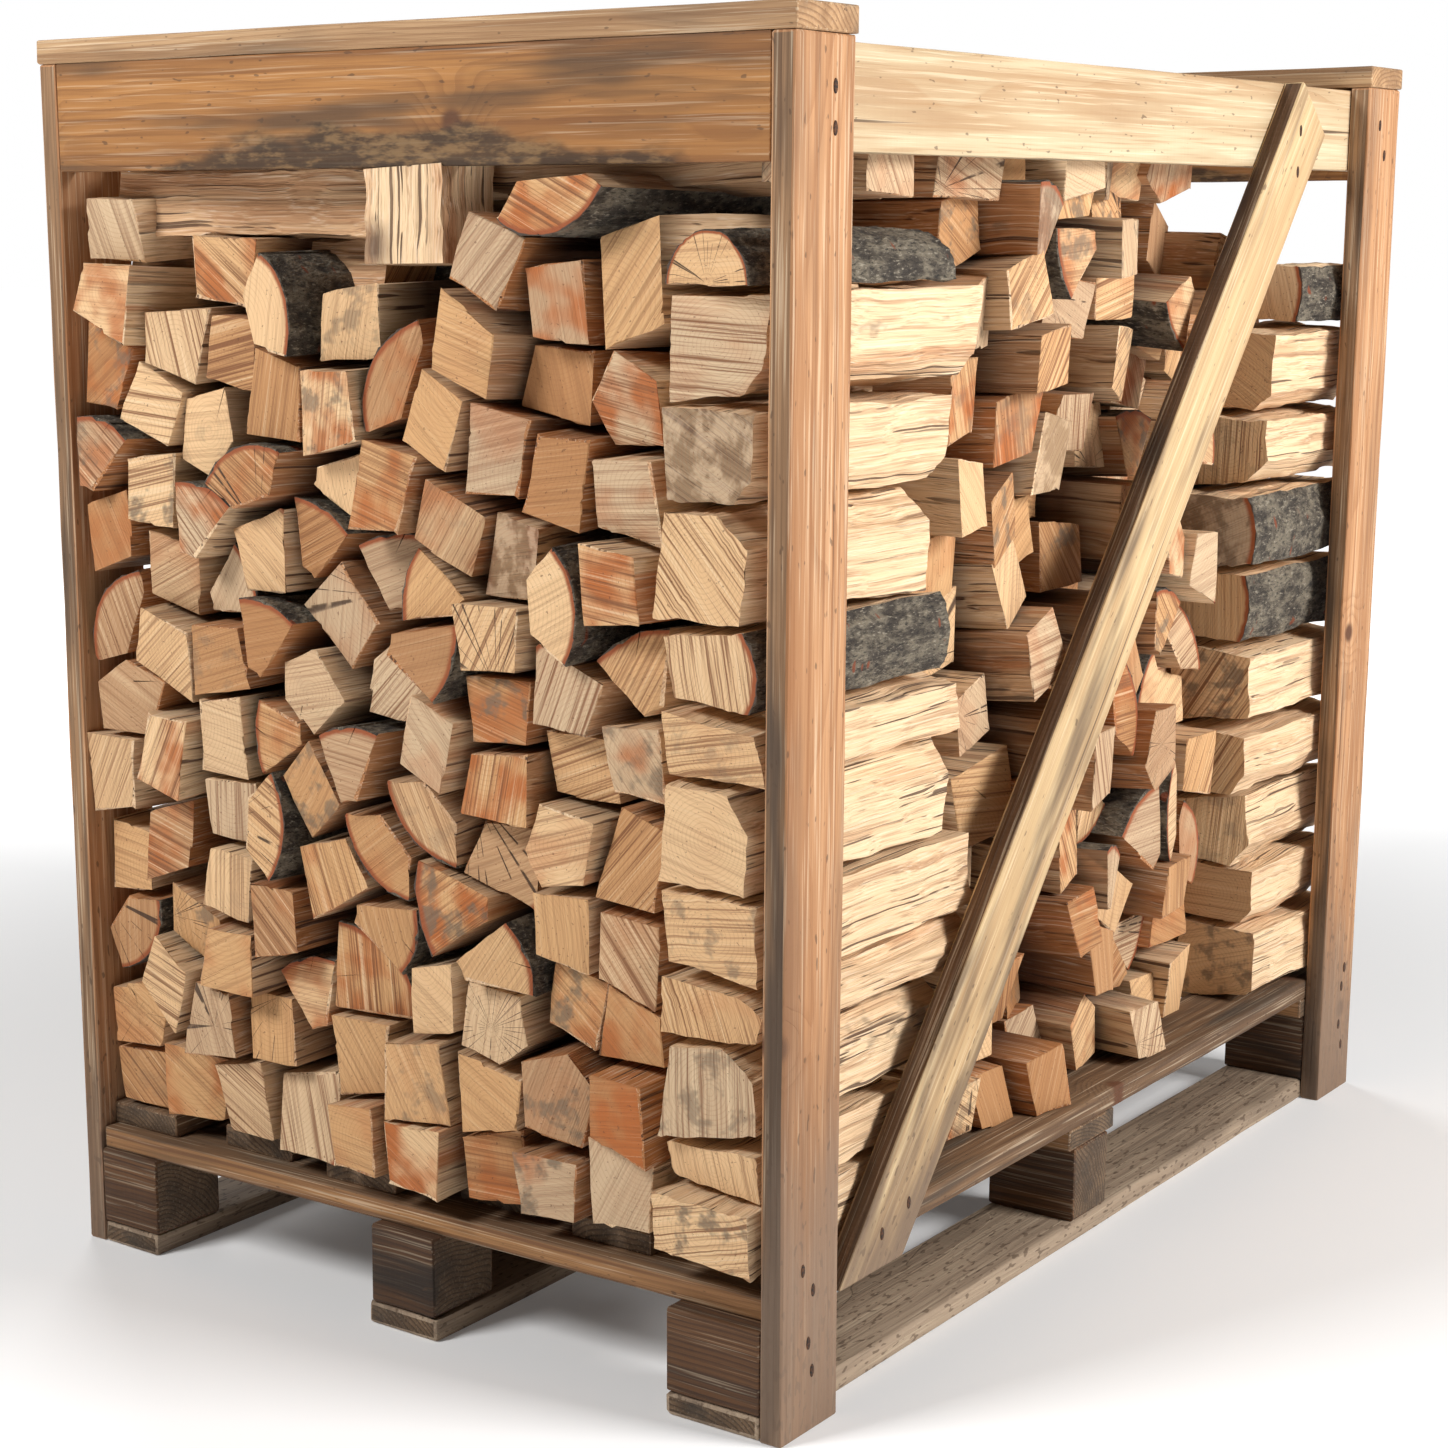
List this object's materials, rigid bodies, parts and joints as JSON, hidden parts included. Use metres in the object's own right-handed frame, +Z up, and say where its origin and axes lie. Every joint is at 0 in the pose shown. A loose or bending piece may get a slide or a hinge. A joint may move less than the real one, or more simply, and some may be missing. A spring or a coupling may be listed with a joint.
{
  "type": "firewood crate",
  "caption": "Open timber crate on a block pallet, filled with stacked split logs; slanting brace on each long side, rails and cap boards at the top.",
  "frame": {"origin": "centre of the crate's footprint, on the floor", "axes": "+Z up, -Y towards the front end with the rail between the posts, +Y along the long sides, +X to the right seen from the front"},
  "size_m": [0.848, 1.276, 1.1823],
  "materials": {
    "pallet_grey_wood": "rough sawn softwood, grey-brown with dirt and weather",
    "deck_brown_wood": "rough sawn board, brown with grey patches",
    "post_wood": "sawn board, orange-tan face and grey-brown edges, nail holes",
    "end_board_wood": "sawn board, tan-brown with a knot and a dark bark edge",
    "pale_side_wood": "sawn board, pale cream with fine grain and dark specks",
    "split_firewood": "split hardwood: tan sawn ends with saw marks, fibrous split sides, some grey bark"
  },
  "bodies": {
    "root": {"back_corner_log_01": "split_firewood", "back_corner_log_02": "split_firewood", "back_corner_log_03": "split_firewood", "back_corner_log_04": "split_firewood", "back_corner_log_05": "split_firewood", "back_corner_log_06": "split_firewood", "back_corner_log_07": "split_firewood", "back_corner_log_08": "split_firewood", "back_corner_log_09": "split_firewood", "back_corner_log_10": "split_firewood", "back_row_logs": "split_firewood", "block_back_left": "pallet_grey_wood", "block_back_middle": "pallet_grey_wood", "block_back_right": "pallet_grey_wood", "block_front_left": "pallet_grey_wood", "block_front_middle": "pallet_grey_wood", "block_front_right": "pallet_grey_wood", "block_middle_left": "pallet_grey_wood", "block_middle_middle": "pallet_grey_wood", "block_middle_right": "pallet_grey_wood", "brace_left": "pale_side_wood", "brace_right": "pale_side_wood", "cap_back": "end_board_wood", "cap_front": "end_board_wood", "cross_board_back": "deck_brown_wood", "cross_board_front": "deck_brown_wood", "cross_board_middle": "deck_brown_wood", "deck_board_1": "deck_brown_wood", "deck_board_2": "deck_brown_wood", "deck_board_3": "deck_brown_wood", "deck_board_4": "deck_brown_wood", "deck_board_5": "deck_brown_wood", "deck_board_6": "deck_brown_wood", "front_corner_log_01": "split_firewood", "front_corner_log_02": "split_firewood", "front_corner_log_03": "split_firewood", "front_corner_log_04": "split_firewood", "front_corner_log_05": "split_firewood", "front_corner_log_06": "split_firewood", "front_corner_log_07": "split_firewood", "front_corner_log_08": "split_firewood", "front_corner_log_09": "split_firewood", "front_corner_log_10": "split_firewood", "front_corner_log_11": "split_firewood", "front_corner_log_12": "split_firewood", "front_row_logs": "split_firewood", "middle_left_logs": "split_firewood", "middle_right_logs": "split_firewood", "post_back_left": "post_wood", "post_back_right": "post_wood", "post_front_left": "post_wood", "post_front_right": "post_wood", "rail_back": "end_board_wood", "rail_front": "end_board_wood", "rail_left": "pale_side_wood", "rail_right": "pale_side_wood", "skid_left": "pallet_grey_wood", "skid_middle": "pallet_grey_wood", "skid_right": "pallet_grey_wood", "top_course_logs": "split_firewood"}
  },
  "joints": []
}
